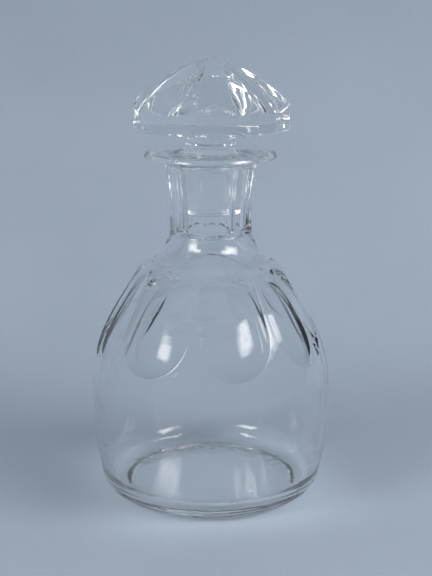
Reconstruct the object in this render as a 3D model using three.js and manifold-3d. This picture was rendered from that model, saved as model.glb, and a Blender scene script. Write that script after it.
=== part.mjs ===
// A cut-crystal carafe: a blown and cut glass vessel and its faceted mushroom stopper.
// Millimetres, +Z up. The origin is the middle of the ring that the vessel stands on, and the front, which
// one facet faces, looks along -Y. Every cut repeats round the axis, one for each facet.
import * as THREE from "three";
import { mergeVertices } from "three/addons/utils/BufferGeometryUtils.js";
import Module from "manifold-3d";

const wasm = await Module();
wasm.setup();

// Counts
const facets = 8;
const roundSegments = 48;
const hollowSteps = 6;
const bendSteps = 8;
const edgeSteps = 3;

// The vessel's outside, from the ring that it stands on up to the foot of the collar under the neck.
// Slopes are in degrees above the level.
const restRadius = 51.5;
const restSlope = 14;
const recessRadius = 47.5;
const recessDepth = 1.2;
const recessBevel = 1.5;
const heelRadius = 61.8;
const heelHeight = 9.5;
const heelSlope = 78;
const heelRound = 5.5;
const widestRadius = 66.4;
const widestHeight = 54;
const shoulderRadius = 42;
const shoulderHeight = 122;
const shoulderSlope = 59;
const shoulderRound = 10.9;
const ledgeSlope = 26;
const collarRadius = 22.7;
const collarRise = 23.5;
const collarLean = 13;

// The eight flat panels ground into the shoulder
const panelFootHeight = 79;
const panelShoulderCut = 2.8;

// The neck, up from the foot of the collar: its flats, by the radius of the ridges, and the flared lip
const collarLength = 3.3;
const collarSlope = 52;
const collarRound = 1.4;
const neckWaistRadius = 22.6;
const neckWaistRise = 8.5;
const neckTopRadius = 24.9;
const neckTopRise = 35.5;
const neckTopSlope = 83;
const neckCoreInset = 1;
const lipRise = 44.1;
const lipRadius = 35.8;
const lipThickness = 2.6;
const lipEdgeRound = 0.7;
const lipEdgeSlope = 68;
const flareRise = 29.5;
const flareSlope = 72;
const lipUnderSlope = 8;

// The hollow inside
const floorThickness = 6.3;
const floorRadius = 49;
const floorSlope = 4;
const innerHeelSlope = 80;
const sideWall = 5.1;
const heelWall = 3.4;
const panelWall = 3.2;
const ledgeWall = 3;
const boreDrop = 12.9;
const boreFootRound = 12;
const innerShoulderRound = 14;

// The stopper: the ground plug below the lip, and the stem, the head's girdle and its dome above the lip
const plugLength = 33.1;
const plugBottomRadius = 13.2;
const plugTaper = 0.06;
const plugChamfer = 1;
const seatClearance = 0.3;
const mouthChamfer = 1.1;
const plugTopRise = 0.7;
const stemRadius = 13.5;
const stemFootRise = 2.6;
const stemLength = 4.8;
const stemTopRadius = 17.5;
const stemFlare = 2.4;
const headRise = 12.5;
const undersideDrop = 1.8;
const girdleRadius = 42.7;
const girdleHeight = 13.8;
const undersideInset = 1.5;
const domeHeight = 24.1;
const ridgeArcRadius = 86;
const fluteDepth = 2.9;

// How far two solids that are joined run into each other
const overlap = 0.5;

const halfFacet = Math.PI / facets;
const flatShare = Math.cos(halfFacet);
const collarHeight = shoulderHeight + collarRise;
const lipHeight = collarHeight + lipRise;
const plugBottomHeight = lipHeight - plugLength;
const girdleBottomHeight = lipHeight + headRise;
const girdleTopHeight = girdleBottomHeight + girdleHeight;
const topHeight = girdleTopHeight + domeHeight;

/** A closed geometry, left with its merged vertices only, as a solid to join and cut. */
function solidOf(geometry) {
  const plain = geometry.clone();
  plain.deleteAttribute("normal");
  plain.deleteAttribute("uv");
  const merged = mergeVertices(plain, 1e-4);
  const mesh = new wasm.Mesh({
    numProp: 3,
    vertProperties: merged.attributes.position.array,
    triVerts: new Uint32Array(merged.index.array),
  });
  return new wasm.Manifold(mesh);
}

/** The geometry of a finished solid. */
function geometryOf(solid) {
  const mesh = solid.getMesh();
  const geometry = new THREE.BufferGeometry();
  geometry.setAttribute("position", new THREE.BufferAttribute(mesh.vertProperties, 3));
  geometry.setIndex(new THREE.BufferAttribute(mesh.triVerts, 1));
  geometry.computeVertexNormals();
  return geometry;
}

const at = (radius, height) => new THREE.Vector2(radius, height);

/** The unit direction, as (radius, height), at an angle in degrees above the outward level. */
function along(degrees) {
  const angle = THREE.MathUtils.degToRad(degrees);
  return at(Math.cos(angle), Math.sin(angle));
}

/** The point (radius, height) that lies a distance away from another along a direction. */
function away(point, distance, direction) {
  return point.clone().addScaledVector(direction, distance);
}

/** Points of a curve that leaves one point and reaches another along two directions, by handles of two lengths. */
function bend(from, leaving, leavingLength, to, reaching, reachingLength, steps = bendSteps) {
  const handleA = away(from, leavingLength, leaving);
  const handleB = away(to, -reachingLength, reaching);
  const curve = new THREE.CubicBezierCurve(from, handleA, handleB, to);
  return curve.getPoints(steps);
}

/** Leaves out each point that repeats the one before it. */
function withoutRepeats(points) {
  return points.filter((point, i) => i === 0 || point.distanceTo(points[i - 1]) > 1e-3);
}

/** A closed turned shape, from a profile (radius, height) that runs from the axis up and back to the axis. */
function turned(points, segments = roundSegments) {
  const start = -Math.PI / segments;
  const geometry = new THREE.LatheGeometry(withoutRepeats(points), segments, start, 2 * Math.PI);
  return geometry.rotateX(Math.PI / 2);
}

/** The radius of a profile at a height, on its first crossing upwards. */
function radiusAt(points, height) {
  const i = points.findIndex((point, n) => n > 0 && points[n - 1].y <= height && point.y > height);
  const [below, above] = [points[i - 1], points[i]];
  return THREE.MathUtils.lerp(below.x, above.x, (height - below.y) / (above.y - below.y));
}

const level = along(0);
const upright = along(90);

/** The vessel's round outside from the resting ring to the collar, before any cut. */
function bodyOutline() {
  const rest = at(restRadius, 0);
  const heel = at(heelRadius, heelHeight);
  const widest = at(widestRadius, widestHeight);
  const shoulder = at(shoulderRadius, shoulderHeight);
  const collar = at(collarRadius, collarHeight);
  const intoShoulder = along(180 - shoulderSlope);
  const overLedge = along(180 - ledgeSlope);
  const ledge = away(shoulder, shoulderRound, along(180 - (shoulderSlope + ledgeSlope) / 2));
  const sideReach = (widestHeight - heelHeight) * 0.36;
  const widestReach = (shoulderHeight - widestHeight) * 0.49;
  const shoulderReach = (shoulderHeight - widestHeight) * 0.42;
  const ledgeReach = (collarHeight - ledge.y) * 0.25;
  const collarReach = (collarHeight - ledge.y) * 0.62;
  return [
    ...bend(rest, along(restSlope), heelRound, heel, along(heelSlope), heelRound),
    ...bend(heel, along(heelSlope), sideReach, widest, upright, sideReach),
    ...bend(widest, upright, widestReach, shoulder, intoShoulder, shoulderReach, 1.5 * bendSteps),
    ...bend(shoulder, intoShoulder, shoulderRound * 0.35, ledge, overLedge, shoulderRound * 0.35, 2 * edgeSteps),
    ...bend(ledge, overLedge, ledgeReach, collar, along(90 + collarLean), collarReach),
  ];
}

/** The round blank: foot, body, collar, a core inside the flats of the neck, and the lip. */
function blankOutline() {
  const coreRadius = neckWaistRadius * flatShare - neckCoreInset;
  const collar = at(collarRadius, collarHeight);
  const collarTop = at(coreRadius, collarHeight + collarLength);
  const flare = at(coreRadius, collarHeight + flareRise);
  const lipUnder = at(lipRadius - lipEdgeRound, lipHeight - lipThickness);
  const rimLow = at(lipRadius, lipUnder.y + lipEdgeRound);
  const upEdge = along(180 - lipEdgeSlope);
  const edgeLength = (lipHeight - lipEdgeRound - rimLow.y) / upEdge.y;
  const rimHigh = away(rimLow, edgeLength, upEdge);
  const lipTop = at(rimHigh.x - lipEdgeRound, lipHeight);
  const quarter = lipEdgeRound * 0.55;
  const flareReach = (lipUnder.y - flare.y) * 0.8;
  return [
    at(0, recessDepth),
    at(recessRadius, recessDepth),
    at(recessRadius + recessBevel, 0),
    ...bodyOutline(),
    ...bend(collar, along(90 + collarLean), collarRound, collarTop, along(180 - collarSlope), collarRound, edgeSteps),
    ...bend(flare, along(flareSlope), flareReach, lipUnder, along(lipUnderSlope), flareReach),
    ...bend(lipUnder, level, quarter, rimLow, upEdge, quarter, edgeSteps),
    ...bend(rimHigh, upEdge, quarter, lipTop, along(180), quarter, edgeSteps),
    at(0, lipHeight),
  ];
}

/** The neck's eight flats: a waisted octagon whose ridges stand at the outline's radius. */
function neckFlats() {
  const foot = at(neckWaistRadius, collarHeight - neckCoreInset);
  const waist = at(neckWaistRadius, collarHeight + neckWaistRise);
  const top = at(neckTopRadius, collarHeight + neckTopRise);
  const inLip = away(top, lipThickness + overlap, along(neckTopSlope));
  const reach = (neckTopRise - neckWaistRise) * 0.45;
  const side = bend(waist, upright, reach, top, along(neckTopSlope), reach);
  return turned([at(0, foot.y), foot, ...side, inLip, at(0, inLip.y)], facets);
}

/** The plane of a shoulder panel in the profile: its foot, its top and the way up between them. */
function panelLine(outline) {
  const foot = at(radiusAt(outline, panelFootHeight), panelFootHeight);
  const top = at(shoulderRadius - panelShoulderCut, shoulderHeight);
  const up = top.clone().sub(foot).normalize();
  return { foot, top, up };
}

/** A block whose inner face is one shoulder panel, turned to its facet. */
function panelCutter(index, outline) {
  const { foot, top, up } = panelLine(outline);
  const rise = foot.distanceTo(top) + collarRise / 2;
  const drop = foot.y / 2;
  const thickness = 2 * widestRadius;
  const block = new THREE.BoxGeometry(2 * widestRadius, thickness, rise + drop);
  block.translate(0, -thickness / 2, (rise - drop) / 2);
  block.rotateX(-Math.atan2(-up.x, up.y));
  block.translate(0, -foot.x, foot.y);
  block.rotateZ(index * 2 * halfFacet);
  return solidOf(block);
}

/** The radius of the plug's taper at a height. */
function taperRadius(height) {
  return plugBottomRadius + plugTaper * (height - plugBottomHeight);
}

/** The hollow: the bowl, the bore under the plug, and the ground mouth that the plug seats in. */
function hollowOutline(outline) {
  const { top, up } = panelLine(outline);
  const seatRadius = taperRadius(plugBottomHeight) + seatClearance;
  const inward = at(-up.y, up.x);
  const floor = at(floorRadius, floorThickness);
  const heel = at(heelRadius - heelWall, heelHeight + floorThickness);
  const widest = at(widestRadius - sideWall, widestHeight);
  const shoulder = away(away(top, panelWall, inward), -ledgeWall, up);
  const boreFoot = at(seatRadius, collarHeight - boreDrop);
  const underLedge = boreFoot.clone().sub(shoulder).normalize();
  const shoulderLow = away(shoulder, -innerShoulderRound, up);
  const shoulderHigh = away(shoulder, innerShoulderRound, underLedge);
  const boreEdge = away(boreFoot, -boreFootRound, underLedge);
  const bore = away(boreFoot, boreFootRound, upright);
  const sideReach = (widestHeight - heel.y) * 0.4;
  const shoulderReach = (shoulder.y - widestHeight) * 0.36;
  const shoulderTurn = innerShoulderRound * 0.6;
  const boreTurn = boreFootRound * 0.6;
  const mouthRadius = taperRadius(lipHeight) + seatClearance;
  return [
    at(0, floorThickness),
    ...bend(floor, along(floorSlope), floorThickness * 0.8, heel, along(innerHeelSlope), floorThickness * 0.7),
    ...bend(heel, along(innerHeelSlope), sideReach, widest, upright, sideReach),
    ...bend(widest, upright, shoulderReach, shoulderLow, up, shoulderReach, 1.5 * bendSteps),
    ...bend(shoulderLow, up, shoulderTurn, shoulderHigh, underLedge, shoulderTurn, 2 * edgeSteps),
    ...bend(boreEdge, underLedge, boreTurn, bore, upright, boreTurn, 2 * edgeSteps),
    at(seatRadius, plugBottomHeight),
    at(mouthRadius, lipHeight - mouthChamfer),
    at(mouthRadius + 2 * mouthChamfer, lipHeight + mouthChamfer),
    at(0, lipHeight + mouthChamfer),
  ];
}

function vesselGeometry() {
  const outline = blankOutline();
  let solid = solidOf(turned(outline)).add(solidOf(neckFlats()));
  for (let index = 0; index < facets; index++) {
    solid = solid.subtract(panelCutter(index, outline));
  }
  return geometryOf(solid.subtract(solidOf(turned(hollowOutline(outline)))));
}

/** How far a hollow facet lies inside its ridges' circle, as a share of it, at an angle from the facet's middle. */
function hollowShare(angle) {
  const across = Math.tan(angle) / Math.tan(halfFacet);
  const sag = fluteDepth / girdleRadius;
  return (flatShare - sag * (1 - across * across)) / Math.cos(angle);
}

/** The arc of a dome ridge in the profile, from a little below the girdle's corner up to the top. */
function ridgeArc() {
  const steps = 1.5 * bendSteps;
  const corner = at(girdleRadius, girdleTopHeight);
  const top = at(0, topHeight);
  const chord = corner.distanceTo(top);
  const inward = at(corner.y - top.y, top.x - corner.x).normalize();
  const middle = corner.clone().add(top).multiplyScalar(0.5);
  const centre = away(middle, Math.sqrt(ridgeArcRadius ** 2 - (chord / 2) ** 2), inward);
  const topAngle = Math.atan2(top.y - centre.y, top.x - centre.x);
  const cornerAngle = Math.atan2(corner.y - centre.y, corner.x - centre.x);
  const lowAngle = cornerAngle - (topAngle - cornerAngle) * 0.35;
  const points = [];
  for (let i = 0; i < steps; i++) {
    const angle = THREE.MathUtils.lerp(lowAngle, topAngle, i / steps);
    points.push(at(centre.x + ridgeArcRadius * Math.cos(angle), centre.y + ridgeArcRadius * Math.sin(angle)));
  }
  return [...points, top];
}

/** The head's dome: hollow facets between ridges that run as arcs from the girdle's corners to the top. */
function domeSolid() {
  const ridge = ridgeArc();
  const base = at(ridge[0].x, girdleBottomHeight - overlap);
  const geometry = turned([at(0, base.y), base, ...ridge], facets * hollowSteps);
  const toCorner = Math.PI / (facets * hollowSteps) - halfFacet;
  geometry.rotateZ(toCorner);
  const position = geometry.attributes.position;
  for (let i = 0; i < position.count; i++) {
    const angle = Math.atan2(position.getX(i), -position.getY(i));
    const offMiddle = angle - Math.round(angle / (2 * halfFacet)) * 2 * halfFacet;
    const share = hollowShare(offMiddle);
    position.setX(i, position.getX(i) * share);
    position.setY(i, position.getY(i) * share);
  }
  return solidOf(geometry);
}

/** The upright girdle: an octagon that the dome's hollow facets cut into scallops along its top. */
function girdleSolid() {
  const above = topHeight + overlap;
  const column = [at(0, girdleBottomHeight), at(girdleRadius, girdleBottomHeight), at(girdleRadius, above), at(0, above)];
  return solidOf(turned(column, facets));
}

/** Everything round under the girdle: the drawn-in underside, the stem and the ground plug. */
function shankSolid() {
  const stemFoot = at(stemRadius, lipHeight + stemFootRise);
  const stem = at(stemRadius, stemFoot.y + stemLength);
  const stemTop = at(stemTopRadius, girdleBottomHeight - undersideDrop);
  const under = at(girdleRadius * flatShare - undersideInset, girdleBottomHeight);
  const outward = under.clone().sub(stemTop).normalize();
  return solidOf(turned([
    at(0, plugBottomHeight),
    at(plugBottomRadius - plugChamfer, plugBottomHeight),
    at(taperRadius(plugBottomHeight + plugChamfer), plugBottomHeight + plugChamfer),
    at(taperRadius(lipHeight + plugTopRise), lipHeight + plugTopRise),
    stemFoot,
    ...bend(stem, upright, stemFlare, stemTop, outward, stemFlare),
    under,
    away(under, overlap, upright),
    at(0, under.y + overlap),
  ]));
}

function stopperGeometry() {
  const head = domeSolid().intersect(girdleSolid());
  return geometryOf(head.add(shankSolid()));
}

/** Clear lead crystal, drawn here as a pale see-through solid. */
function crystal(colour) {
  const look = { color: colour, roughness: 0.03, metalness: 0, transparent: true, opacity: 0.45 };
  return new THREE.MeshStandardMaterial(look);
}

function piece(name, geometry, material) {
  const mesh = new THREE.Mesh(geometry, material);
  mesh.name = name;
  return mesh;
}

const carafe = new THREE.Group();
carafe.add(piece("vessel", vesselGeometry(), crystal(0xc9d6e0)));
carafe.add(piece("stopper", stopperGeometry(), crystal(0xd6e1ea)));

export default carafe;
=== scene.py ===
"""A cut-crystal carafe on pale grey-blue paper: a vessel with a panelled shoulder and its faceted stopper.

Lengths are in millimetres until a surface becomes a mesh, which is in metres, as the frame is. An angle
round the axis is 0 at the front, which looks along -Y, and grows towards +X. The front is the middle of a
facet.
"""
import math

import bpy
import numpy as np
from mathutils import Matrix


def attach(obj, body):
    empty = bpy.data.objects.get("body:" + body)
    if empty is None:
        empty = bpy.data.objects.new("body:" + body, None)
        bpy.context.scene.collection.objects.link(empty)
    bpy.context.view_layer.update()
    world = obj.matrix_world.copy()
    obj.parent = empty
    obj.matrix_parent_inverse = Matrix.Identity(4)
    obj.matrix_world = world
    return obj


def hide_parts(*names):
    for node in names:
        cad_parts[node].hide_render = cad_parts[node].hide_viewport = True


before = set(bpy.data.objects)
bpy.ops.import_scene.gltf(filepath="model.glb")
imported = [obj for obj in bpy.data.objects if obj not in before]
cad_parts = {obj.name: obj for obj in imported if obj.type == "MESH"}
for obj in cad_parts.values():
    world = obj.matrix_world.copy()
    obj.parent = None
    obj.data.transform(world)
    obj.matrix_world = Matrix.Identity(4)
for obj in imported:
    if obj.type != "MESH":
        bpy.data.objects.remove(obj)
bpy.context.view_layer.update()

MILLIMETRE = 0.001
FACETS = 8
HALF = math.pi / FACETS

# The vessel from the ring it stands on to its widest part
REST_RADIUS = 51.5
REST_SLOPE = 14
REST_EDGE = 0.4
RECESS_RADIUS = 47.5
RECESS_DEPTH = 1.2
RECESS_BEVEL = 1.5
HEEL_RADIUS = 61.8
HEEL_HEIGHT = 9.5
HEEL_SLOPE = 78
HEEL_ROUND = 5.5
WIDEST_RADIUS = 66.4
WIDEST_HEIGHT = 54

# Its shoulder and the panels ground into it
SHOULDER_RADIUS = 42
SHOULDER_HEIGHT = 122
SHOULDER_SLOPE = 59
SHOULDER_ROUND = 10.9
LEDGE_SLOPE = 26
PANEL_FOOT = 79
PANEL_SHOULDER_CUT = 2.8
PANELS_MEET = 112

# Its collar and its neck with eight flats
COLLAR_RADIUS = 22.7
COLLAR_HEIGHT = SHOULDER_HEIGHT + 23.5
COLLAR_LEAN = 13
COLLAR_LENGTH = 3.3
COLLAR_SLOPE = 52
COLLAR_ROUND = 1.4
WAIST_RADIUS = 22.6
WAIST_HEIGHT = COLLAR_HEIGHT + 8.5
NECK_TOP_RADIUS = 24.9
NECK_TOP_HEIGHT = COLLAR_HEIGHT + 35.5
NECK_TOP_SLOPE = 83
NECK_CORE_INSET = 1

# Its lip
FLARE_HEIGHT = COLLAR_HEIGHT + 29.5
FLARE_SLOPE = 72
LIP_HEIGHT = COLLAR_HEIGHT + 44.1
LIP_RADIUS = 35.8
LIP_THICKNESS = 2.6
LIP_UNDER_SLOPE = 8
LIP_EDGE_ROUND = 0.7
LIP_EDGE_SLOPE = 68

# Its hollow
FLOOR_THICKNESS = 6.3
FLOOR_RADIUS = 49
FLOOR_SLOPE = 4
INNER_HEEL_SLOPE = 80
SIDE_WALL = 5.1
HEEL_WALL = 3.4
PANEL_WALL = 3.2
LEDGE_WALL = 3
INNER_SHOULDER_ROUND = 14
BORE_FOOT = COLLAR_HEIGHT - 12.9
BORE_FOOT_ROUND = 12

# The stopper's plug, and the seat and mouth that it sits in
PLUG_BOTTOM = LIP_HEIGHT - 33.1
PLUG_BOTTOM_RADIUS = 13.2
PLUG_TAPER = 0.06
PLUG_CHAMFER = 1
PLUG_TOP = LIP_HEIGHT + 0.7
SEAT_CLEARANCE = 0.3
MOUTH_CHAMFER = 1.1
SEAT_TOP = LIP_HEIGHT - MOUTH_CHAMFER

# The stopper's stem and head
STEM_RADIUS = 13.5
STEM_FOOT = LIP_HEIGHT + 2.6
STEM_LENGTH = 4.8
STEM_TOP_RADIUS = 17.5
STEM_FLARE = 2.4
GIRDLE_RADIUS = 42.7
GIRDLE_BOTTOM = LIP_HEIGHT + 12.5
GIRDLE_TOP = GIRDLE_BOTTOM + 13.8
UNDERSIDE_DROP = 1.8
UNDERSIDE_INSET = 1.5
DOME_TOP = GIRDLE_TOP + 24.1
RIDGE_ARC_RADIUS = 86
FLUTE_DEPTH = 2.9

# How far the polisher's wheel has rounded the cut edges, and how wide it has made the recess's side
EDGE_ROUND = 0.55
CREASE_ROUND = 0.12
FLAT_CREASE_ROUND = 0.48
SCALLOP_ROUND = 0.4
RECESS_EASE = 4

# Where one finish gives way to the next: up the outside, up the inside, and in rings past the seat
TURNED_TO = FLOOR_THICKNESS + HEEL_HEIGHT
GATHERED_FROM = 38
RINGS_GROUND_WITH_SEAT = 3

# Where the cuts are looked for and where they apply, which keeps them off the parts they don't belong to
PANELS_FROM = PANEL_FOOT - 2
PANELS_LEAVE_FROM = SHOULDER_HEIGHT - 1.5
PANELS_LEAVE_BY = SHOULDER_HEIGHT + 4
PANELS_END = COLLAR_HEIGHT - 4
FLATS_START = COLLAR_HEIGHT - 2
FLATS_RISE_FROM = COLLAR_HEIGHT + 0.05
FLATS_LEAVE_FROM = FLARE_HEIGHT + 1
FLATS_LEAVE_BY = LIP_HEIGHT - LIP_THICKNESS - 0.1

# Radii at which a ridge's polished edge becomes an angle
PANEL_RIDGE_RADIUS = 50
NECK_RIDGE_RADIUS = 23

# How full the curves are: an end tangent's length as a share of the height or the corner that it rounds
SIDE_FULLNESS = 0.36
WIDEST_FULLNESS = 0.49
SHOULDER_FULLNESS = 0.42
SHOULDER_TURN = 0.35
LEDGE_FULLNESS = 0.25
COLLAR_FULLNESS = 0.62
RIDGE_FULLNESS = 0.45
FLARE_FULLNESS = 0.8
ROUND_EDGE = 0.55
FLOOR_FULLNESS = 0.8
INNER_HEEL_FULLNESS = 0.7
INNER_SIDE_FULLNESS = 0.4
INNER_UPPER_FULLNESS = 0.36
INNER_TURN = 0.6

# How far the ridges' arc runs on below the girdle's corner, as a share of it, for the girdle to cut off
RIDGE_RUN_ON = 0.35

# How finely the surfaces are divided: columns round a facet, and rings in each stretch of a profile
FACET_COLUMNS = 32
RECESS_RINGS = 24
HEEL_RINGS = 14
BELLY_RINGS = 66
PANEL_RINGS = 48
LEDGE_RINGS = 18
COLLAR_RINGS = 14
FLAT_RINGS = 34
FLARE_RINGS = 24
SEAT_RINGS = 12
HOLLOW_RINGS = 110
PLUG_RINGS = 14
UNDERSIDE_RINGS = 12
GIRDLE_RINGS = 26
DOME_RINGS = 60
PANEL_SEARCH_STEPS = 1500
FLAT_SEARCH_STEPS = 400
RIDGE_ARC_STEPS = 400

# The photographer's camera: a long lens, a little above the carafe, turned off its front facet's middle
CAMERA_TURN = math.radians(-13.117)
CAMERA_DISTANCE = 0.65882
CAMERA_SIDE = 0.00296
CAMERA_HEIGHT = 0.2827
CAMERA_DIP = 14.379
CAMERA_LENS = 76.774

# The studio, in metres: the point that the lamps face, and how far out the paper starts and ends giving
# way. Then the share of its light that a softbox loses at an edge.
MIDDLE = (0, 0, 0.1)
PAPER_THINS = 0.65
PAPER_ENDS = 1.4
DIFFUSER_LOSS = 0.92

# How much the glass bends light, how deep the paper's tooth is in metres, and the colours
CRYSTAL_IOR = 1.545
PAPER_TOOTH = 0.00004
CLEAR = (0.985, 0.99, 0.99)
PAPER_PALE = (0.352, 0.41, 0.49)
PAPER_DEEP = (0.308, 0.364, 0.44)
STUDIO_SEEN = (0.31, 0.362, 0.433)
STUDIO_GIVEN = (0.1, 0.1, 0.1)

# What a node group's sockets carry
NUMBER = "NodeSocketFloat"
COLOUR = "NodeSocketColor"


# Profiles and surfaces

def along(degrees):
    """The unit direction (outward, up) at an angle above the outward level."""
    return np.array([math.cos(math.radians(degrees)), math.sin(math.radians(degrees))])


def bend(start, leaving, leaving_length, end, reaching, reaching_length, steps=40):
    """A cubic curve: (1-t)^3 A + 3 (1-t)^2 t B + 3 (1-t) t^2 C + t^3 D, with B and C on its tangents."""
    start, end = np.array(start, float), np.array(end, float)
    t = np.linspace(0, 1, steps + 1)[:, None]
    near, far = start + leaving_length * leaving, end - reaching_length * reaching
    return (1 - t) ** 3 * start + 3 * (1 - t) ** 2 * t * near + 3 * (1 - t) * t * t * far + t**3 * end


def joined(*parts):
    """Profile points in one list, without a point that repeats the one before it."""
    points = np.vstack([np.atleast_2d(np.array(p, float)) for p in parts])
    step = np.hypot(*np.diff(points, axis=0).T)
    return points[np.concatenate([[True], step > 1e-4])]


def beside(corner, out, up):
    """A point a little off a corner. Two of them in its place make it look polished instead of sharp."""
    return corner[0] + out, corner[1] + up


def lengths(points):
    """The distance run along a profile up to each of its points."""
    return np.concatenate([[0], np.cumsum(np.hypot(*np.diff(points, axis=0).T))])


def spaced(points, count):
    """The same profile with its points at even distances along it."""
    run = lengths(points)
    even = np.linspace(0, run[-1], count)
    return np.column_stack([np.interp(even, run, points[:, 0]), np.interp(even, run, points[:, 1])])


def crowded(count, low, high):
    """Fractions from 0 to 1 that stand closer together at the ends: the running sum of steps that grow
    from low to 1 and shrink to high, by a sine."""
    t = np.linspace(0, 1, count - 1)
    ends = np.where(t < 0.5, low, high)
    step = ends + (1 - ends) * np.sin(math.pi * t)
    run = np.concatenate([[0], np.cumsum(step)])
    return run / run[-1]


def lower_of(a, b, ease):
    """The lower of two surfaces, less h^2 ease / 4 near their crossing, with
    h = max(ease - |a - b|, 0) / ease."""
    h = np.maximum(ease - np.abs(a - b), 0) / ease
    return np.minimum(a, b) - h * h * ease / 4


def higher_of(a, b, ease):
    """The higher of two surfaces, eased near their crossing in the same way."""
    return -lower_of(-a, -b, ease)


def facet_columns():
    """Angles off a facet's middle, from ridge to ridge and closer together at them:
    half (s + 0.75 sin(pi s) / pi), with s from -1 up to 1."""
    share = np.linspace(-1, 1, FACET_COLUMNS + 1)[:-1]
    return HALF * (share + 0.75 * np.sin(math.pi * share) / math.pi)


OFF_MIDDLE = np.tile(facet_columns(), FACETS)
ANGLES = OFF_MIDDLE + np.repeat(np.arange(FACETS) * 2 * HALF, FACET_COLUMNS)
EVERY_COLUMN = np.ones(len(ANGLES))


def eased_off(radius):
    """A column's angle off its facet's middle. It stops growing over the last EDGE_ROUND before a ridge,
    for its polished edge: x + p - p^2 / (2 w), with p the way past the edge's start and w its width."""
    width = EDGE_ROUND / radius
    start = HALF - width
    x = np.abs(OFF_MIDDLE)
    past = np.maximum(x - start, 0)
    return np.minimum(x, start) + past - past**2 / (2 * width)


def closed_faces(strips):
    """Faces that close rings of points, one ring for each end of a strip: quads up each strip, then fans
    to a point below the first ring and one above the last, which come after the rings' points. Gives the
    corners of all faces in one row, and each face's number of corners."""
    here = np.arange(len(ANGLES))
    beyond = np.roll(here, -1)
    low = np.arange(strips)[:, None] * len(ANGLES)
    high = low + len(ANGLES)
    quads = np.stack([low + here, low + beyond, high + beyond, high + here], axis=-1)
    last = strips * len(ANGLES)
    bottom = last + len(ANGLES)
    foot = np.column_stack([np.full(len(here), bottom), beyond, here])
    cap = np.column_stack([last + here, last + beyond, np.full(len(here), bottom + 1)])
    sizes = np.concatenate([np.full(quads.size // 4, 4), np.full(len(foot) + len(cap), 3)])
    return np.concatenate([quads.ravel(), foot.ravel(), cap.ravel()]), sizes


def skin(name, radius, height, finishes, starts=()):
    """One closed surface of rings about the axis: (r sin a, -r cos a, z) from arrays of radius and height
    with a row for each ring and a column for each angle. Its first and last rings draw in to the axis,
    which closes it. Each finish after the first starts at the ring that starts names for it."""
    radius, height = radius * MILLIMETRE, height * MILLIMETRE
    rings = np.stack([radius * np.sin(ANGLES), -radius * np.cos(ANGLES), height], axis=-1)
    points = np.vstack([rings[1:-1].reshape(-1, 3), rings[0].mean(0), rings[-1].mean(0)])
    strips = len(rings) - 3
    corners, sizes = closed_faces(strips)
    mesh = bpy.data.meshes.new(name)
    mesh.vertices.add(len(points))
    mesh.vertices.foreach_set("co", points.ravel())
    mesh.loops.add(len(corners))
    mesh.loops.foreach_set("vertex_index", corners.astype(np.int32))
    mesh.polygons.add(len(sizes))
    mesh.polygons.foreach_set("loop_start", (np.cumsum(sizes) - sizes).astype(np.int32))
    mesh.update(calc_edges=True)
    mesh.validate()
    mesh.shade_smooth()
    for finish in finishes:
        mesh.materials.append(finish)
    ring_of_face = np.repeat([*range(1, strips + 1), 0, len(rings)], len(ANGLES))
    finish_of_face = np.searchsorted(starts, ring_of_face, side="right")
    mesh.polygons.foreach_set("material_index", finish_of_face.astype(np.int32))
    piece = bpy.data.objects.new(name, mesh)
    bpy.context.scene.collection.objects.link(piece)
    return piece


# The vessel

def body_outline():
    """The vessel's round outside from the ring it stands on to the foot of the collar."""
    into_shoulder, over_ledge = along(180 - SHOULDER_SLOPE), along(180 - LEDGE_SLOPE)
    rest, heel = (REST_RADIUS, 0), (HEEL_RADIUS, HEEL_HEIGHT)
    widest, shoulder = (WIDEST_RADIUS, WIDEST_HEIGHT), (SHOULDER_RADIUS, SHOULDER_HEIGHT)
    ledge = np.array(shoulder) + SHOULDER_ROUND * along(180 - (SHOULDER_SLOPE + LEDGE_SLOPE) / 2)
    collar = (COLLAR_RADIUS, COLLAR_HEIGHT)
    side = (WIDEST_HEIGHT - HEEL_HEIGHT) * SIDE_FULLNESS
    upper = SHOULDER_HEIGHT - WIDEST_HEIGHT
    leaving, reaching = upper * WIDEST_FULLNESS, upper * SHOULDER_FULLNESS
    turn = SHOULDER_ROUND * SHOULDER_TURN
    rise = COLLAR_HEIGHT - ledge[1]
    onto_ledge, up_collar = rise * LEDGE_FULLNESS, rise * COLLAR_FULLNESS
    return joined(
        bend(rest, along(REST_SLOPE), HEEL_ROUND, heel, along(HEEL_SLOPE), HEEL_ROUND),
        bend(heel, along(HEEL_SLOPE), side, widest, along(90), side, 80),
        bend(widest, along(90), leaving, shoulder, into_shoulder, reaching, 160),
        bend(shoulder, into_shoulder, turn, ledge, over_ledge, turn),
        bend(ledge, over_ledge, onto_ledge, collar, along(90 + COLLAR_LEAN), up_collar),
    )


def neck_outline():
    """The neck's round part: the collar, a core hidden by the flats, and the flare up under the lip."""
    core = WAIST_RADIUS * math.cos(HALF) - NECK_CORE_INSET
    collar, collar_top = (COLLAR_RADIUS, COLLAR_HEIGHT), (core, COLLAR_HEIGHT + COLLAR_LENGTH)
    over_collar, into_core = along(90 + COLLAR_LEAN), along(180 - COLLAR_SLOPE)
    flare, under = (core, FLARE_HEIGHT), (LIP_RADIUS - LIP_EDGE_ROUND, LIP_HEIGHT - LIP_THICKNESS)
    reach = (under[1] - FLARE_HEIGHT) * FLARE_FULLNESS
    return joined(
        bend(collar, over_collar, COLLAR_ROUND, collar_top, into_core, COLLAR_ROUND),
        bend(flare, along(FLARE_SLOPE), reach, under, along(LIP_UNDER_SLOPE), reach, 80),
    )


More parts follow.
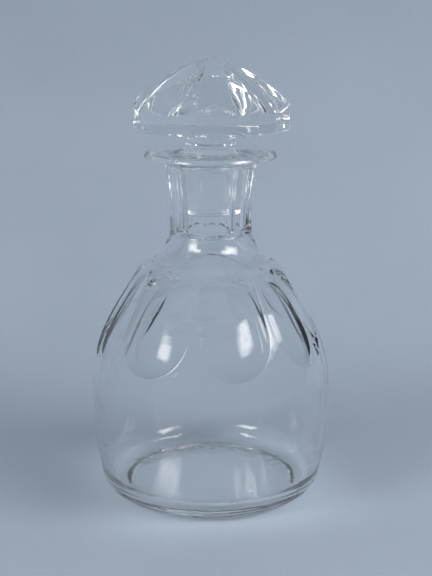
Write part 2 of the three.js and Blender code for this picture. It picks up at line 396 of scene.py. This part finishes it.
def neck_ridge():
    """The ridges between the neck's flats in profile: upright at the waist, and run on past the top."""
    waist, top = (WAIST_RADIUS, WAIST_HEIGHT), (NECK_TOP_RADIUS, NECK_TOP_HEIGHT)
    reach = (NECK_TOP_HEIGHT - WAIST_HEIGHT) * RIDGE_FULLNESS
    return joined(
        (WAIST_RADIUS, COLLAR_HEIGHT),
        bend(waist, along(90), reach, top, along(NECK_TOP_SLOPE), reach),
        np.array(top) + (LIP_HEIGHT - NECK_TOP_HEIGHT) * along(NECK_TOP_SLOPE),
    )


def panel_line(outline):
    """A shoulder panel in profile: its foot and its top."""
    i = np.argmax(outline[:, 1] > PANEL_FOOT)
    foot_radius = np.interp(PANEL_FOOT, outline[i - 1:i + 1, 1], outline[i - 1:i + 1, 0])
    top_radius = SHOULDER_RADIUS - PANEL_SHOULDER_CUT
    return np.array([foot_radius, PANEL_FOOT]), np.array([top_radius, SHOULDER_HEIGHT])


def outside_surface(body):
    """Radius and height of the vessel's outside, ring by ring, up to the lip's underside. The radius is
    the round blank's, cut down to panel distance / cos(a) under each shoulder panel and brought out to
    flat distance / cos(a) at the neck's flats, with a the angle off the facet's middle. Rings crowd where
    a cut begins or ends."""
    blank = joined(body, neck_outline())
    run = lengths(blank)
    ridge = neck_ridge()
    foot, top = panel_line(body)
    lean = (top[0] - foot[0]) / (top[1] - foot[1])
    panel_spread = 1 / np.cos(eased_off(PANEL_RIDGE_RADIUS))
    flat_spread = math.cos(HALF) / np.cos(eased_off(NECK_RIDGE_RADIUS))

    def run_at(height):
        """How far along the blank a height is."""
        return np.interp(height, blank[:, 1], run)

    def blank_radius(height):
        """The round blank's radius at a height."""
        return np.interp(height, blank[:, 1], blank[:, 0])

    def panel_radius(height):
        """How far out the panels lie at a height, column by column."""
        return (foot[0] + lean * (height - foot[1])) * panel_spread

    def flat_radius(height):
        """How far out the neck's flats lie at a height, column by column."""
        return np.interp(height, ridge[:, 1], ridge[:, 0]) * flat_spread

    def by_run(start, end, fractions):
        """The blank's radius and height at fractions of the way between two distances along it."""
        s = (start + (end - start) * fractions[:, None]) * EVERY_COLUMN
        return np.interp(s, run, blank[:, 0]), np.interp(s, run, blank[:, 1])

    def by_height(start, end, fractions):
        """The blank's radius and height at fractions of the way between two heights."""
        z = (start + (end - start) * fractions[:, None]) * EVERY_COLUMN
        return blank_radius(z), z

    s = np.linspace(run_at(PANELS_FROM), run_at(PANELS_LEAVE_BY), PANEL_SEARCH_STEPS)[:, None]
    radius, height = np.interp(s, run, blank[:, 0]), np.interp(s, run, blank[:, 1])
    under_panel = panel_radius(height) < radius
    is_cut = under_panel.any(0)
    goes_in = np.where(is_cut, s[under_panel.argmax(0), 0], np.inf)
    goes_in = np.minimum(goes_in, run_at(PANELS_MEET))
    comes_out = np.where(is_cut, s[len(s) - 1 - under_panel[::-1].argmax(0), 0], run_at(SHOULDER_HEIGHT))
    comes_out = np.maximum(comes_out, run_at(PANELS_LEAVE_FROM))

    z = np.linspace(FLATS_RISE_FROM, COLLAR_HEIGHT + COLLAR_LENGTH, FLAT_SEARCH_STEPS)[:, None]
    flat_foot = z[(blank_radius(z) <= flat_radius(z)).argmax(0), 0]
    z = np.linspace(FLATS_LEAVE_FROM, FLATS_LEAVE_BY, FLAT_SEARCH_STEPS)[:, None]
    flat_top = z[(blank_radius(z) > flat_radius(z)).argmax(0), 0]

    bands = [
        by_run(0, run_at(HEEL_HEIGHT), crowded(HEEL_RINGS, 0.5, 1)),
        by_run(run_at(HEEL_HEIGHT), goes_in, crowded(BELLY_RINGS, 1, 0.12)),
        by_run(goes_in, comes_out, crowded(PANEL_RINGS, 0.12, 0.12)),
        by_run(comes_out, run_at(COLLAR_HEIGHT), crowded(LEDGE_RINGS, 0.15, 1)),
        by_height(COLLAR_HEIGHT, flat_foot, crowded(COLLAR_RINGS, 1, 0.15)),
        by_height(flat_foot, flat_top, crowded(FLAT_RINGS, 0.12, 0.12)),
        by_run(run_at(flat_top), run[-1], crowded(FLARE_RINGS, 0.15, 0.6)),
    ]
    radius = np.vstack([bands[0][0]] + [band[0][1:] for band in bands[1:]])
    height = np.vstack([bands[0][1]] + [band[1][1:] for band in bands[1:]])
    panel = np.where(height < PANELS_END, panel_radius(height), np.inf)
    flat = np.where(height > FLATS_START, flat_radius(height), 0)
    return higher_of(lower_of(radius, panel, CREASE_ROUND), flat, FLAT_CREASE_ROUND), height


def recess_outline():
    """The underside from the axis to the ring it stands on. The recess's side is half a cosine wave."""
    side_foot = RECESS_RADIUS + RECESS_BEVEL
    side = np.linspace(side_foot - RECESS_EASE, side_foot, RECESS_RINGS)
    wave = 0.5 - 0.5 * np.cos(math.pi * (side_foot - side) / RECESS_EASE)
    return joined(
        (0, RECESS_DEPTH),
        (RECESS_RADIUS * 0.5, RECESS_DEPTH),
        np.column_stack([side, RECESS_DEPTH * wave]),
        (REST_RADIUS - REST_EDGE, 0),
    )


def taper(height):
    """The plug's radius at a height."""
    return PLUG_BOTTOM_RADIUS + PLUG_TAPER * (height - PLUG_BOTTOM)


def rim_outline():
    """The lip's round edge, its flat top, and the mouth down to the top of the seat."""
    under = (LIP_RADIUS - LIP_EDGE_ROUND, LIP_HEIGHT - LIP_THICKNESS)
    up_edge = along(180 - LIP_EDGE_SLOPE)
    low = np.array([LIP_RADIUS, under[1] + LIP_EDGE_ROUND])
    high = low + (LIP_HEIGHT - LIP_EDGE_ROUND - low[1]) / up_edge[1] * up_edge
    top = (high[0] - LIP_EDGE_ROUND, LIP_HEIGHT)
    quarter = LIP_EDGE_ROUND * ROUND_EDGE
    mouth = taper(LIP_HEIGHT) + SEAT_CLEARANCE
    mouth_edge, seat_edge = (mouth + MOUTH_CHAMFER, LIP_HEIGHT), (mouth, SEAT_TOP)
    in_seat = SEAT_TOP - 0.5
    return joined(
        bend(under, along(0), quarter, low, up_edge, quarter, 7),
        bend(high, up_edge, quarter, top, along(180), quarter, 7),
        beside(mouth_edge, 0.4, 0),
        beside(mouth_edge, -0.1, -0.15),
        beside(seat_edge, 0.15, 0.1),
        (taper(in_seat) + SEAT_CLEARANCE, in_seat),
    )


def hollow_outline(body):
    """The inside from the seat's foot down the bore and the bowl to the edge of the floor."""
    foot, top = panel_line(body)
    up = (top - foot) / np.hypot(*(top - foot))
    inward = np.array([-up[1], up[0]])
    floor = (FLOOR_RADIUS, FLOOR_THICKNESS)
    heel, into_heel = (HEEL_RADIUS - HEEL_WALL, HEEL_HEIGHT + FLOOR_THICKNESS), along(INNER_HEEL_SLOPE)
    widest = (WIDEST_RADIUS - SIDE_WALL, WIDEST_HEIGHT)
    shoulder = top + PANEL_WALL * inward - LEDGE_WALL * up
    seat_foot = np.array([taper(PLUG_BOTTOM) + SEAT_CLEARANCE, PLUG_BOTTOM])
    bore_foot = np.array([seat_foot[0], BORE_FOOT])
    under_ledge = (bore_foot - shoulder) / np.hypot(*(bore_foot - shoulder))
    low, high = shoulder - INNER_SHOULDER_ROUND * up, shoulder + INNER_SHOULDER_ROUND * under_ledge
    edge, bore = bore_foot - BORE_FOOT_ROUND * under_ledge, bore_foot + BORE_FOOT_ROUND * along(90)
    turn, bore_turn = INNER_SHOULDER_ROUND * INNER_TURN, BORE_FOOT_ROUND * INNER_TURN
    side = (WIDEST_HEIGHT - heel[1]) * INNER_SIDE_FULLNESS
    upper = (shoulder[1] - WIDEST_HEIGHT) * INNER_UPPER_FULLNESS
    over_floor, up_heel = FLOOR_THICKNESS * FLOOR_FULLNESS, FLOOR_THICKNESS * INNER_HEEL_FULLNESS
    climb = joined(
        bend(floor, along(FLOOR_SLOPE), over_floor, heel, into_heel, up_heel),
        bend(heel, into_heel, side, widest, along(90), side),
        bend(widest, along(90), upper, low, up, upper, 80),
        bend(low, up, turn, high, under_ledge, turn),
        bend(edge, under_ledge, bore_turn, bore, along(90), bore_turn),
        seat_foot,
    )
    return climb[::-1]


def inside_outline(body):
    """The profile over the lip, down the seat and the hollow, and across the floor to the axis."""
    rim, hollow = rim_outline(), hollow_outline(body)
    return joined(
        rim[1:],
        np.linspace(rim[-1], hollow[0], SEAT_RINGS),
        spaced(hollow, HOLLOW_RINGS),
        (FLOOR_RADIUS * 0.6, FLOOR_THICKNESS),
        (FLOOR_RADIUS * 0.2, FLOOR_THICKNESS),
        (0, FLOOR_THICKNESS),
    )


def vessel_surface():
    """Radius and height of the whole vessel, ring by ring: out across the underside, up the outside, over
    the lip and down the inside. With them come the rings where its finish changes: to the turned heel, to
    the cut outside, to the blown inside and to the glass gathered low inside."""
    body = body_outline()
    recess, inside = recess_outline(), inside_outline(body)
    radius, height = outside_surface(body)
    lip = len(recess) + len(height)
    seat_foot = lip + np.argmax(inside[:, 1] < PLUG_BOTTOM + 0.01)
    starts = (
        len(recess) - 1,
        len(recess) + np.argmax(height.min(axis=1) > TURNED_TO),
        seat_foot + RINGS_GROUND_WITH_SEAT,
        lip + np.argmax(inside[:, 1] < GATHERED_FROM),
    )
    radius = np.vstack([recess[:, :1] * EVERY_COLUMN, radius, inside[:, :1] * EVERY_COLUMN])
    height = np.vstack([recess[:, 1:] * EVERY_COLUMN, height, inside[:, 1:] * EVERY_COLUMN])
    return radius, height, starts


# The stopper

def shank_outline():
    """The stopper's round part: the plug and its chamfered foot, the stem, and its flare into the head."""
    foot_edge = (PLUG_BOTTOM_RADIUS - PLUG_CHAMFER, PLUG_BOTTOM)
    side_edge = (taper(PLUG_BOTTOM + PLUG_CHAMFER), PLUG_BOTTOM + PLUG_CHAMFER)
    plug = np.linspace(PLUG_BOTTOM + 2 * PLUG_CHAMFER, SEAT_TOP - 0.2, PLUG_RINGS)
    plug_edge, stem_edge = (taper(PLUG_TOP), PLUG_TOP), (STEM_RADIUS, STEM_FOOT)
    stem = (STEM_RADIUS, STEM_FOOT + STEM_LENGTH)
    stem_top = (STEM_TOP_RADIUS, GIRDLE_BOTTOM - UNDERSIDE_DROP)
    underside_radius = GIRDLE_RADIUS * math.cos(HALF) - UNDERSIDE_INSET
    spread = np.array([underside_radius - STEM_TOP_RADIUS, UNDERSIDE_DROP])
    spread = spread / np.hypot(*spread)
    return joined(
        (0, PLUG_BOTTOM),
        (PLUG_BOTTOM_RADIUS * 0.5, PLUG_BOTTOM),
        beside(foot_edge, -0.1, 0),
        beside(foot_edge, 0.1, 0.1),
        beside(side_edge, -0.1, -0.1),
        beside(side_edge, 0.1 * PLUG_TAPER, 0.1),
        np.column_stack([taper(plug), plug]),
        beside(plug_edge, -0.02, -0.25),
        beside(plug_edge, -0.2, 0.15),
        beside(stem_edge, 0.2, -0.25),
        beside(stem_edge, 0, 0.3),
        bend(stem, along(90), STEM_FLARE, stem_top, spread, STEM_FLARE, 14),
    )


def ridge_arc():
    """The ridges of the dome in profile, an arc of a circle through the girdle's corner and the top: its
    angles, from below the corner up, and the radius and height at each."""
    corner, top = np.array([GIRDLE_RADIUS, GIRDLE_TOP]), np.array([0, DOME_TOP])
    chord = top - corner
    inward = np.array([-chord[1], chord[0]]) / np.hypot(*chord)
    centre = (corner + top) / 2 + math.sqrt(RIDGE_ARC_RADIUS**2 - (np.hypot(*chord) / 2) ** 2) * inward
    top_angle = math.atan2(top[1] - centre[1], top[0] - centre[0])
    corner_angle = math.atan2(corner[1] - centre[1], corner[0] - centre[0])
    run_on = (top_angle - corner_angle) * RIDGE_RUN_ON
    angle = np.linspace(corner_angle - run_on, top_angle, RIDGE_ARC_STEPS)
    radius = centre[0] + RIDGE_ARC_RADIUS * np.cos(angle)
    radius[-1] = 0
    return angle, radius, centre[1] + RIDGE_ARC_RADIUS * np.sin(angle)


def stopper_surface():
    """Radius and height of the stopper, ring by ring, from the foot of its plug to the top. Between two
    ridges the dome's radius is the ridge arc's times (c - d (1 - x^2)) / cos(a), with c the flat's share
    of the ridge radius, d the flute's depth as a share of it, a the angle off the facet's middle and
    x = tan(a) / tan(half)."""
    flat_share = math.cos(HALF)
    off = eased_off(GIRDLE_RADIUS)
    across = np.tan(off) / math.tan(HALF)
    share = (flat_share - FLUTE_DEPTH / GIRDLE_RADIUS * (1 - across**2)) / np.cos(off)
    octagon = GIRDLE_RADIUS * flat_share / np.cos(off)

    arc_angle, arc_radius, arc_height = ridge_arc()
    meets = np.interp(octagon / share, arc_radius[::-1], arc_angle[::-1])
    angle = meets + (arc_angle[-1] - meets) * crowded(DOME_RINGS, 0.06, 1)[:, None]
    dome_radius = np.interp(angle, arc_angle, arc_radius) * share
    dome_height = np.interp(angle, arc_angle, arc_height)
    bottom, top = GIRDLE_BOTTOM + EDGE_ROUND, dome_height[0]
    girdle_height = bottom + (top - bottom) * crowded(GIRDLE_RINGS, 0.15, 0.12)[:, None]
    girdle_radius = np.interp(girdle_height, arc_height, arc_radius) * share
    girdle_radius = lower_of(octagon * np.ones_like(girdle_radius), girdle_radius, SCALLOP_ROUND)
    dome_radius = lower_of(octagon * np.ones_like(dome_radius), dome_radius, SCALLOP_ROUND)

    shank = shank_outline()
    edge = octagon - EDGE_ROUND
    out = np.linspace(0, 1, UNDERSIDE_RINGS)[1:, None]
    under_radius = shank[-1, 0] + (edge - shank[-1, 0]) * out
    under_height = (shank[-1, 1] + UNDERSIDE_DROP * out) * EVERY_COLUMN
    turn = np.radians(np.linspace(0, 90, 5))[1:-1, None]
    round_radius = edge + EDGE_ROUND * np.sin(turn)
    round_height = bottom - EDGE_ROUND * np.cos(turn) * EVERY_COLUMN
    shank_radius, shank_height = shank[:, :1] * EVERY_COLUMN, shank[:, 1:] * EVERY_COLUMN
    radius = np.vstack([shank_radius, under_radius, round_radius, girdle_radius, dome_radius[1:]])
    height = np.vstack([shank_height, under_height, round_height, girdle_height, dome_height[1:]])
    return radius, height


# Materials

def node(tree, kind, inputs=None, **settings):
    """A node with its settings made, and each named or numbered input given a value or a link."""
    made = tree.nodes.new(kind)
    for key, value in settings.items():
        setattr(made, key, value)
    for key, value in (inputs or {}).items():
        if isinstance(value, bpy.types.NodeSocket):
            tree.links.new(value, made.inputs[key])
        else:
            made.inputs[key].default_value = value
    return made


def calc(tree, operation, *values):
    """The result of an operation on numbers, each a value or another node's result."""
    return node(tree, "ShaderNodeMath", dict(enumerate(values)), operation=operation).outputs[0]


def scaled(tree, place, by):
    """A vector times another, axis by axis."""
    return node(tree, "ShaderNodeVectorMath", {0: place, 1: by}, operation="MULTIPLY").outputs[0]


def noise(tree, place, scale, detail, **more):
    """Noise from 0 to 1 at a place."""
    inputs = {"Vector": place, "Scale": scale, "Detail": detail, **more}
    return node(tree, "ShaderNodeTexNoise", inputs).outputs[0]


def ramp(tree, value, low, high, kind="LINEAR"):
    """0 to 1 while a value goes from low to high."""
    inputs = {0: value, 1: low, 2: high}
    return node(tree, "ShaderNodeMapRange", inputs, interpolation_type=kind).outputs[0]


def effect(name, inputs, outputs):
    """A new node group and its two ends: the sockets that come in, from (name, type, default), the node
    that takes what goes out, from (name, type), and the place on the piece, in its own coordinates."""
    group = bpy.data.node_groups.new(name, "ShaderNodeTree")
    for label, kind, value in inputs:
        group.interface.new_socket(label, in_out="INPUT", socket_type=kind).default_value = value
    for label, kind in outputs:
        group.interface.new_socket(label, in_out="OUTPUT", socket_type=kind)
    come, go = group.nodes.new("NodeGroupInput"), group.nodes.new("NodeGroupOutput")
    return group, come.outputs, go, node(group, "ShaderNodeTexCoord").outputs["Object"]


def placed(tree, group, **values):
    """An effect's node in a material, with its own values."""
    made = node(tree, "ShaderNodeGroup", node_tree=group)
    for label, value in values.items():
        made.inputs[label].default_value = value
    return made


def hand_marks():
    """Roughness of glass that has been handled: as even as its polish left it, with faint wiped smears
    and a few water spots on top."""
    group, come, go, place = effect(
        "hand marks",
        [("Smears", NUMBER, 0.02), ("Spots", NUMBER, 0.03), ("Dull", NUMBER, 0.0)],
        [("Roughness", NUMBER)],
    )
    smear = ramp(group, noise(group, place, 38, 4, Distortion=1.6), 0.55, 0.85, "SMOOTHSTEP")
    smear = calc(group, "MULTIPLY", smear, come["Smears"])
    spot = node(group, "ShaderNodeTexVoronoi", {"Vector": place, "Scale": 120}).outputs["Distance"]
    few = ramp(group, noise(group, place, 22, 2), 0.6, 0.75)
    spot = calc(group, "MULTIPLY", ramp(group, spot, 0.1, 0.04), few)
    spot = calc(group, "MULTIPLY", spot, come["Spots"])
    rough = calc(group, "ADD", calc(group, "ADD", smear, spot), come["Dull"])
    group.links.new(rough, go.inputs[0])
    return group


def waves(name, height, across, up):
    """A new effect that gives the height of waves in a surface, in metres. It takes their full height, and
    how fast they change across and up."""
    inputs = [("Height", NUMBER, height), ("Round", NUMBER, across), ("Up", NUMBER, up)]
    return effect(name, inputs, [("Height", NUMBER)])


def ripples():
    """The slow waves in a glass surface: noise at x and y times Round and z times Up, per metre."""
    group, come, go, place = waves("ripples", 0.0001, 30.0, 200.0)
    stretch = {0: come["Round"], 1: come["Round"], 2: come["Up"]}
    stretch = node(group, "ShaderNodeCombineXYZ", stretch).outputs[0]
    wave = noise(group, scaled(group, place, stretch), 1, 1.5, Roughness=0.4)
    group.links.new(calc(group, "MULTIPLY", wave, come["Height"]), go.inputs[0])
    return group


def wheel_marks():
    """The marks of a turning wheel: noise at Round times the unit vector away from the axis, and at Up
    times r + z above that, so that it runs far round the axis and changes fast along the outline. Towards
    the axis the marks die away."""
    group, come, go, place = waves("wheel marks", 0.00001, 3.0, 700.0)
    level = scaled(group, place, (1, 1, 0))
    out = node(group, "ShaderNodeVectorMath", {0: level}, operation="LENGTH").outputs["Value"]
    way = node(group, "ShaderNodeVectorMath", {0: level}, operation="NORMALIZE").outputs[0]
    way = {0: way, "Scale": come["Round"]}
    way = node(group, "ShaderNodeVectorMath", way, operation="SCALE").outputs[0]
    high = node(group, "ShaderNodeSeparateXYZ", {0: place}).outputs["Z"]
    outline = calc(group, "MULTIPLY", calc(group, "ADD", out, high), come["Up"])
    outline = node(group, "ShaderNodeCombineXYZ", {2: outline}).outputs[0]
    spot = node(group, "ShaderNodeVectorMath", {0: way, 1: outline}, operation="ADD").outputs[0]
    depth = calc(group, "MULTIPLY", ramp(group, out, 0.01, 0.035, "SMOOTHSTEP"), come["Height"])
    wave = noise(group, spot, 1, 1.5, Roughness=0.4)
    group.links.new(calc(group, "MULTIPLY", wave, depth), go.inputs[0])
    return group


def paper_grain():
    """Seamless paper as the roll comes: a slow mottle of tone between two colours, and a felt of short
    fibres that gives both a little speckle and the height of its tooth, in metres."""
    group, come, go, place = effect(
        "paper grain",
        [("Pale", COLOUR, (*PAPER_PALE, 1)), ("Deep", COLOUR, (*PAPER_DEEP, 1)), ("Speckle", NUMBER, 0.1)],
        [("Color", COLOUR), ("Height", NUMBER)],
    )
    mottle = noise(group, place, 9, 3, Roughness=0.5)
    felt = noise(group, place, 420, 3, Roughness=0.6, Distortion=1.2)
    speck = calc(group, "MULTIPLY", calc(group, "SUBTRACT", felt, 0.5), come["Speckle"])
    tone = {"Factor": calc(group, "ADD", mottle, speck), "A": come["Deep"], "B": come["Pale"]}
    mixed = node(group, "ShaderNodeMix", tone, data_type="RGBA").outputs["Result"]
    group.links.new(mixed, go.inputs["Color"])
    group.links.new(calc(group, "MULTIPLY", felt, PAPER_TOOTH), go.inputs["Height"])
    return group


HAND_MARKS, RIPPLES, WHEEL_MARKS, PAPER_GRAIN = hand_marks(), ripples(), wheel_marks(), paper_grain()


def uneven(tree, height):
    """Lets a height in metres tilt a material's surface."""
    bump = node(tree, "ShaderNodeBump", {"Height": height, "Distance": 1.0, "Strength": 1.0})
    tree.links.new(bump.outputs[0], tree.nodes["Principled BSDF"].inputs["Normal"])


def crystal(name, worked, height, across, up, smears=0, spots=0, dull=0):
    """Lead crystal: clear, with the marks of hands and the waves that its own maker's tools leave."""
    material = bpy.data.materials.new(name)
    material.use_nodes = True
    tree = material.node_tree
    shader = tree.nodes["Principled BSDF"]
    shader.inputs["Base Color"].default_value = (*CLEAR, 1)
    shader.inputs["IOR"].default_value = CRYSTAL_IOR
    shader.inputs["Transmission Weight"].default_value = 1.0
    marks = placed(tree, HAND_MARKS, Smears=smears, Spots=spots, Dull=dull)
    tree.links.new(marks.outputs[0], shader.inputs["Roughness"])
    uneven(tree, placed(tree, worked, Height=height, Round=across, Up=up).outputs[0])
    return material


def paper(name, pale, deep, speckle):
    """Matt seamless paper. Seen from behind it isn't there, and far out it gives way to the studio."""
    material = bpy.data.materials.new(name)
    material.use_nodes = True
    tree = material.node_tree
    shader = tree.nodes["Principled BSDF"]
    shader.inputs["Roughness"].default_value = 0.9
    shader.inputs["Specular IOR Level"].default_value = 0.2
    grain = placed(tree, PAPER_GRAIN, Pale=(*pale, 1), Deep=(*deep, 1), Speckle=speckle)
    tree.links.new(grain.outputs["Color"], shader.inputs["Base Color"])
    uneven(tree, grain.outputs["Height"])
    place = node(tree, "ShaderNodeTexCoord").outputs["Object"]
    out = node(tree, "ShaderNodeVectorMath", {0: place}, operation="LENGTH").outputs["Value"]
    far = ramp(tree, out, PAPER_THINS, PAPER_ENDS, "SMOOTHSTEP")
    gone = calc(tree, "MAXIMUM", far, node(tree, "ShaderNodeNewGeometry").outputs["Backfacing"])
    through = node(tree, "ShaderNodeBsdfTransparent").outputs[0]
    either = node(tree, "ShaderNodeMixShader", {0: gone, 1: shader.outputs[0], 2: through})
    tree.links.new(either.outputs[0], tree.nodes["Material Output"].inputs["Surface"])
    return material


# The studio, with X to the picture's right and Y away from the camera

def studio(points):
    """Points of the studio in the frame's axes."""
    x, y, z = np.moveaxis(np.array(points, float), -1, 0)
    c, s = math.cos(CAMERA_TURN), math.sin(CAMERA_TURN)
    return np.stack([x * c - y * s, x * s + y * c, z], axis=-1)


def around(azimuth, height, distance):
    """A place about MIDDLE, from its azimuth to the camera's right and its height, both in degrees."""
    a, e = math.radians(azimuth), math.radians(height)
    level = distance * math.cos(e)
    return level * math.sin(a), -level * math.cos(a), MIDDLE[2] + distance * math.sin(e)


def sheet(name, material, y, z, half_width):
    """A profile in the studio's Y and Z carried across its X, with its face up or towards the camera."""
    x = np.linspace(-half_width, half_width, 5)
    points = studio(np.stack([np.tile(x, len(y)), np.repeat(y, len(x)), np.repeat(z, len(x))], axis=-1))
    corner = np.arange(len(points)).reshape(len(y), len(x))[:-1, :-1].ravel()
    faces = np.column_stack([corner, corner + 1, corner + 1 + len(x), corner + len(x)])
    mesh = bpy.data.meshes.new(name)
    mesh.from_pydata(points.tolist(), [], faces.tolist())
    mesh.shade_smooth()
    mesh.materials.append(material)
    made = bpy.data.objects.new(name, mesh)
    bpy.context.scene.collection.objects.link(made)


def sweep(name, material, front=-2.5, fold=0.12, curve=0.3, top=1.6, back=2.5, half_width=2.5):
    """A floor that turns up into a backdrop: a profile of floor, quarter circle and wall. A second sheet
    carries the floor on behind the fold, where only a view from behind the backdrop finds it."""
    floor = np.linspace(front, fold, 6)
    turn = np.radians(np.linspace(-90, 0, 24))[1:]
    y = np.concatenate([floor, fold + curve * np.cos(turn), [fold + curve]])
    z = np.concatenate([0 * floor, curve + curve * np.sin(turn), [top]])
    sheet(name, material, y, z, half_width)
    sheet(name + " behind", material, np.array([fold, back]), np.zeros(2), half_width)


def diffuser(tree, edge):
    """Makes a lamp glow like lit cloth, brightest in the middle: (1 - e x^2) (1 - e y^2), with x and y
    from -1 to 1 across it and e the share that is lost at an edge."""
    across = node(tree, "ShaderNodeNewGeometry").outputs["Parametric"]
    across = node(tree, "ShaderNodeSeparateXYZ", {0: across}).outputs
    glow = []
    for way in (across["X"], across["Y"]):
        off = node(tree, "ShaderNodeMapRange", {0: way, 3: -1.0, 4: 1.0}).outputs[0]
        glow.append(calc(tree, "MULTIPLY_ADD", calc(tree, "MULTIPLY", off, off), -edge, 1.0))
    tree.links.new(calc(tree, "MULTIPLY", *glow), tree.nodes["Emission"].inputs["Strength"])


def softbox(name, place, size, power, aim=MIDDLE, edge=0, mirrored=True, shades=True, spread=180):
    """A lamp behind a flat diffuser, facing a point. The glass may mirror it, and it may throw shadows."""
    lamp = bpy.data.lights.new(name, "AREA")
    lamp.shape = "RECTANGLE"
    lamp.size, lamp.size_y = size
    lamp.energy = power
    lamp.spread = math.radians(spread)
    lamp.use_shadow = shades
    if edge:
        lamp.use_nodes = True
        diffuser(lamp.node_tree, edge)
    box = bpy.data.objects.new(name, lamp)
    box.location = studio(place)
    x, y, z = studio(aim) - studio(place)
    box.rotation_euler = (math.atan2(math.hypot(x, y), -z), 0, math.atan2(-x, y))
    box.visible_camera = False
    box.visible_glossy = box.visible_transmission = mirrored
    bpy.context.scene.collection.objects.link(box)


def surroundings(seen, given):
    """The studio beyond the paper. It has one colour for the camera, seen straight or in the glass and
    not by way of a matt surface, and another for the light that it gives."""
    world = bpy.data.worlds.new("studio")
    world.use_nodes = True
    tree = world.node_tree
    path = node(tree, "ShaderNodeLightPath").outputs
    in_glass = calc(tree, "MAXIMUM", path["Is Glossy Ray"], path["Is Transmission Ray"])
    in_glass = calc(tree, "MULTIPLY", in_glass, calc(tree, "LESS_THAN", path["Diffuse Depth"], 0.5))
    is_seen = calc(tree, "MAXIMUM", path["Is Camera Ray"], in_glass)
    seen_light = tree.nodes["Background"]
    seen_light.inputs["Color"].default_value = (*seen, 1)
    given_light = node(tree, "ShaderNodeBackground", {"Color": (*given, 1)})
    choice = {0: is_seen, 1: given_light.outputs[0], 2: seen_light.outputs[0]}
    either = node(tree, "ShaderNodeMixShader", choice)
    tree.links.new(either.outputs[0], tree.nodes["World Output"].inputs["Surface"])
    bpy.context.scene.world = world


def set_up_camera():
    """The camera, level across and dipped towards the carafe."""
    lens = bpy.data.cameras.new("camera")
    lens.sensor_width = 36
    lens.lens = CAMERA_LENS
    lens.clip_start = 0.01
    camera = bpy.data.objects.new("camera", lens)
    camera.location = studio((CAMERA_SIDE, -CAMERA_DISTANCE, CAMERA_HEIGHT))
    camera.rotation_euler = (math.radians(90 - CAMERA_DIP), 0, CAMERA_TURN)
    bpy.context.scene.collection.objects.link(camera)
    bpy.context.scene.camera = camera


# The carafe: each finish with its tool's waves, as height in metres and change across and up
cut = crystal("cut and polished crystal", RIPPLES, 0.000008, 300, 30, smears=0.03, spots=0.04)
blown = crystal("blown crystal, inside", RIPPLES, 0.00003, 35, 320)
gathered = crystal("blown crystal, low inside", WHEEL_MARKS, 0.0001, 7, 420)
turned = crystal("turned crystal, heel", WHEEL_MARKS, 0.00003, 4, 700, smears=0.03, spots=0.04)
worn = {"smears": 0.06, "spots": 0.04, "dull": 0.03}
stood_on = crystal("turned crystal, underneath", WHEEL_MARKS, 0.00005, 4, 500, **worn)
*vessel_rings, finish_starts = vessel_surface()
vessel = skin("vessel_glass", *vessel_rings, [stood_on, turned, cut, blown, gathered], finish_starts)
stopper = skin("stopper_glass", *stopper_surface(), [cut])
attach(vessel, "vessel")
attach(stopper, "stopper")
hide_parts("vessel")
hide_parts("stopper")

# The paper, the camera and the light
sweep("paper sweep", paper("grey-blue paper", PAPER_PALE, PAPER_DEEP, 1.2))
set_up_camera()
surroundings(STUDIO_SEEN, STUDIO_GIVEN)
softbox("left softbox", around(-48.5, 26, 1.0), (0.46, 0.31), 5.6, edge=DIFFUSER_LOSS)
softbox("right softbox", around(57, 31, 1.0), (0.62, 0.28), 7.0, edge=DIFFUSER_LOSS)
softbox("left lamp", around(-60, 36, 1.6), (0.5, 0.5), 4, mirrored=False)
softbox("right lamp", around(77, 32, 1.6), (0.5, 0.5), 7, mirrored=False)
softbox("ceiling", (0.4, -1.0, 2.2), (2.2, 2.2), 23, mirrored=False, shades=False)
softbox("light gathered by the glass", (0, 0, 0.3), (0.11, 0.11), 0.026, aim=(0, 0, 0),
        mirrored=False, shades=False, spread=18)

# Clear glass takes many bounces, and the light tree would pass over the small lamp above it
scene = bpy.context.scene
scene.view_settings.view_transform = "Standard"
scene.cycles.max_bounces = 48
scene.cycles.transmission_bounces = 48
scene.cycles.glossy_bounces = 12
scene.cycles.use_light_tree = False
